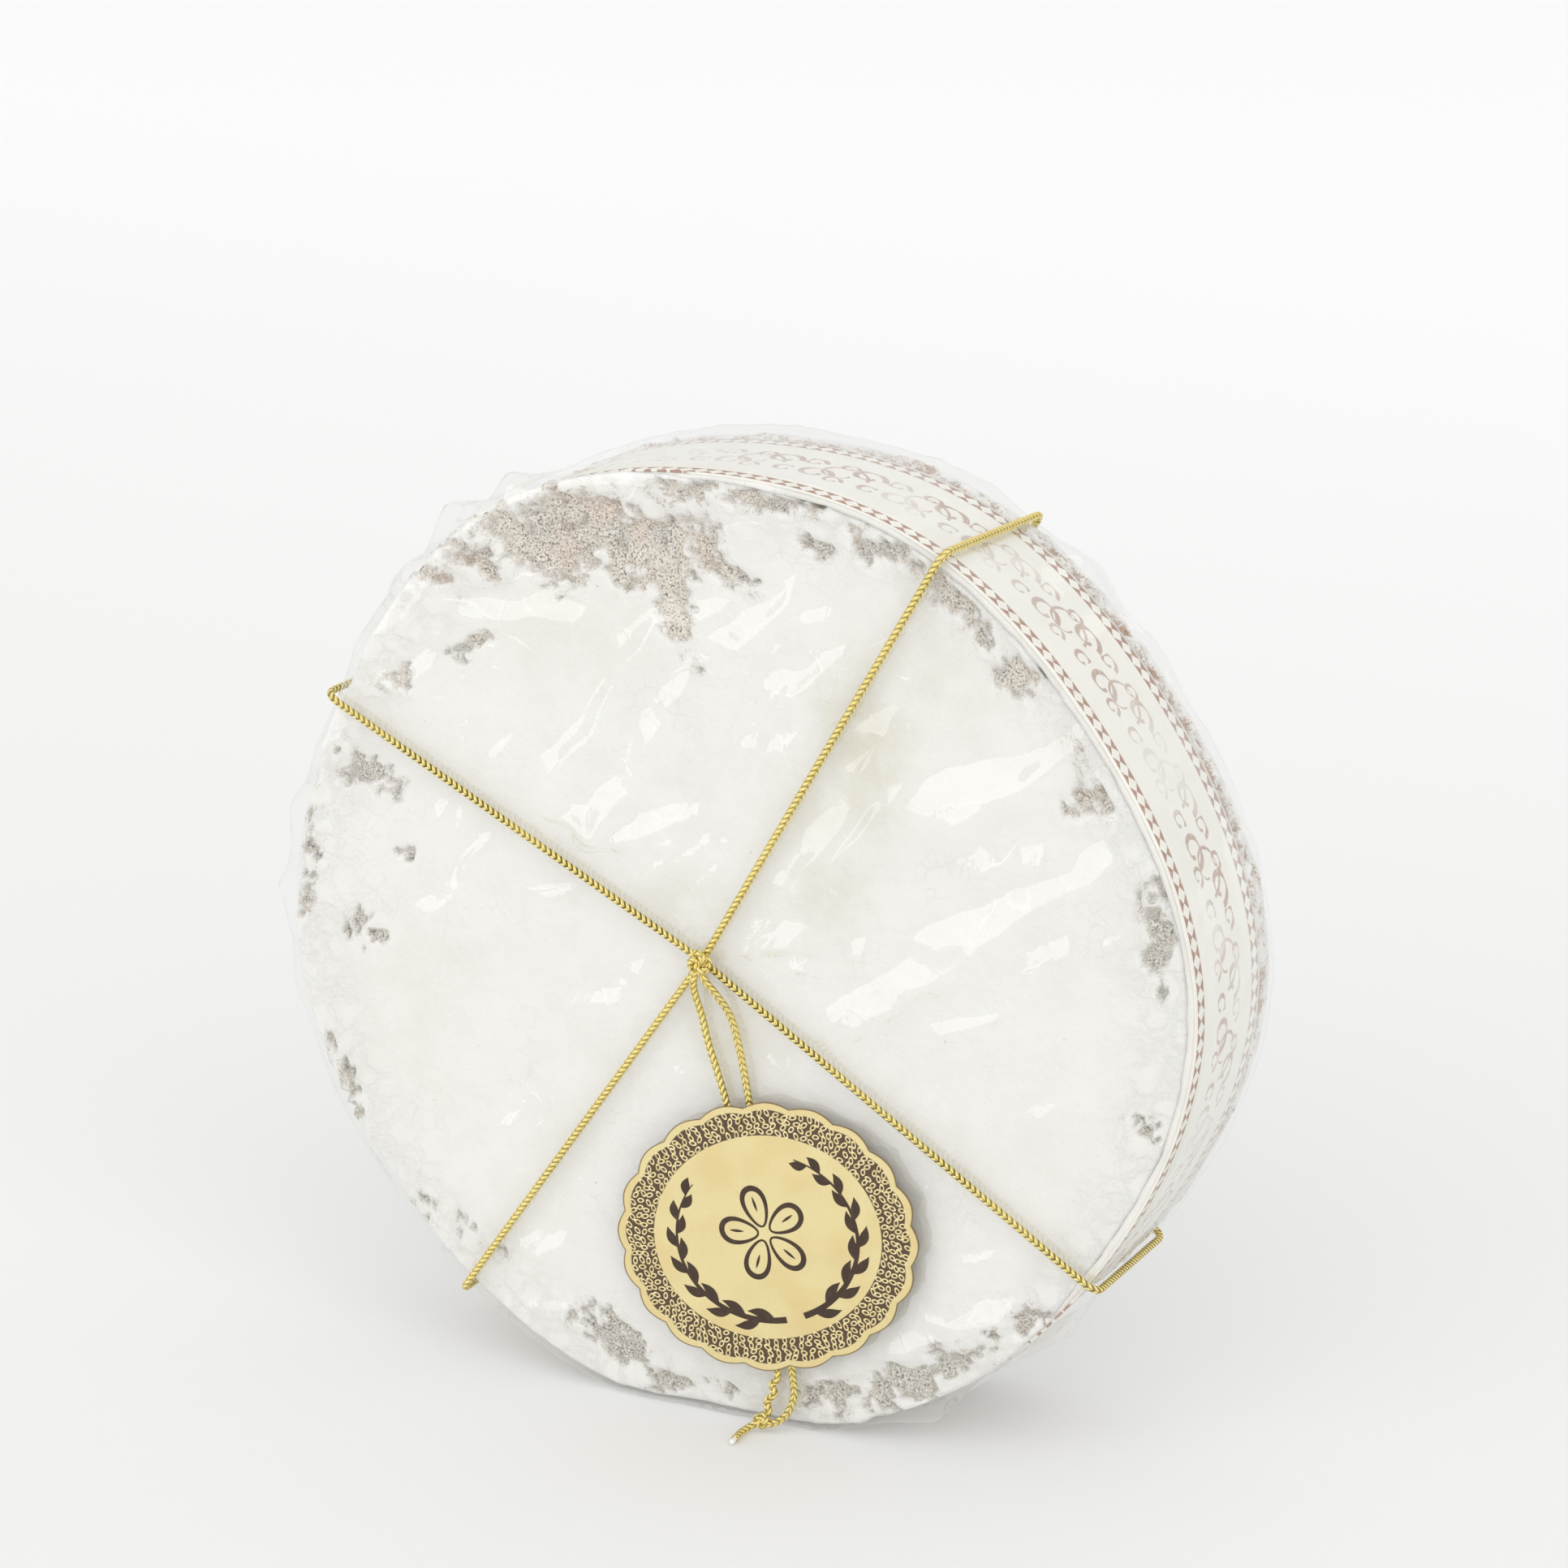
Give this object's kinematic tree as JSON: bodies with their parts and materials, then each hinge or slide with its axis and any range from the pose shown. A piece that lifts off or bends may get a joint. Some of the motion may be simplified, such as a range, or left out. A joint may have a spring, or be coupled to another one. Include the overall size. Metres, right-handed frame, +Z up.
{
  "type": "panforte",
  "caption": "Round sugar-dusted panforte standing on its rim, banded in wafer and printed paper, wrapped in clear film and tied crosswise with gold cord and a foil seal.",
  "frame": {"origin": "middle of the bottom of the tied parcel's box, where the pressed-flat stretch of the rim stands, measured without the loose cord ends and their seal", "axes": "+Z up; +Y along the cake's axis towards the back; the tied front with the knot and seal faces -Y"},
  "size_m": [0.1428, 0.0421, 0.1391],
  "materials": {
    "sugared_cake": "baked nut and fruit cake under a thick, patchy dusting of icing sugar",
    "wafer_paper": "matt edible wafer paper",
    "printed_paper": "smooth white paper with a brown diamond border and scrolls",
    "clear_film": "clear glossy cellophane, creased",
    "gold_cord": "braided metallic gold thread",
    "gold_foil": "embossed gold foil paper with a dark brown ringlet border",
    "core_yarn": "soft white cotton yarn"
  },
  "bodies": {
    "root": {"cake": "sugared_cake", "wafer_side_strip": "wafer_paper", "printed_band": "printed_paper", "film_wrap": "clear_film", "tie_cord_a": "gold_cord", "tie_cord_b": "gold_cord", "centre_knot": "gold_cord", "strand_left": "gold_cord", "strand_right": "gold_cord", "gold_seal": "gold_foil", "end_knot": "gold_cord", "cut_end": "gold_cord", "cord_core": "core_yarn"}
  },
  "joints": []
}
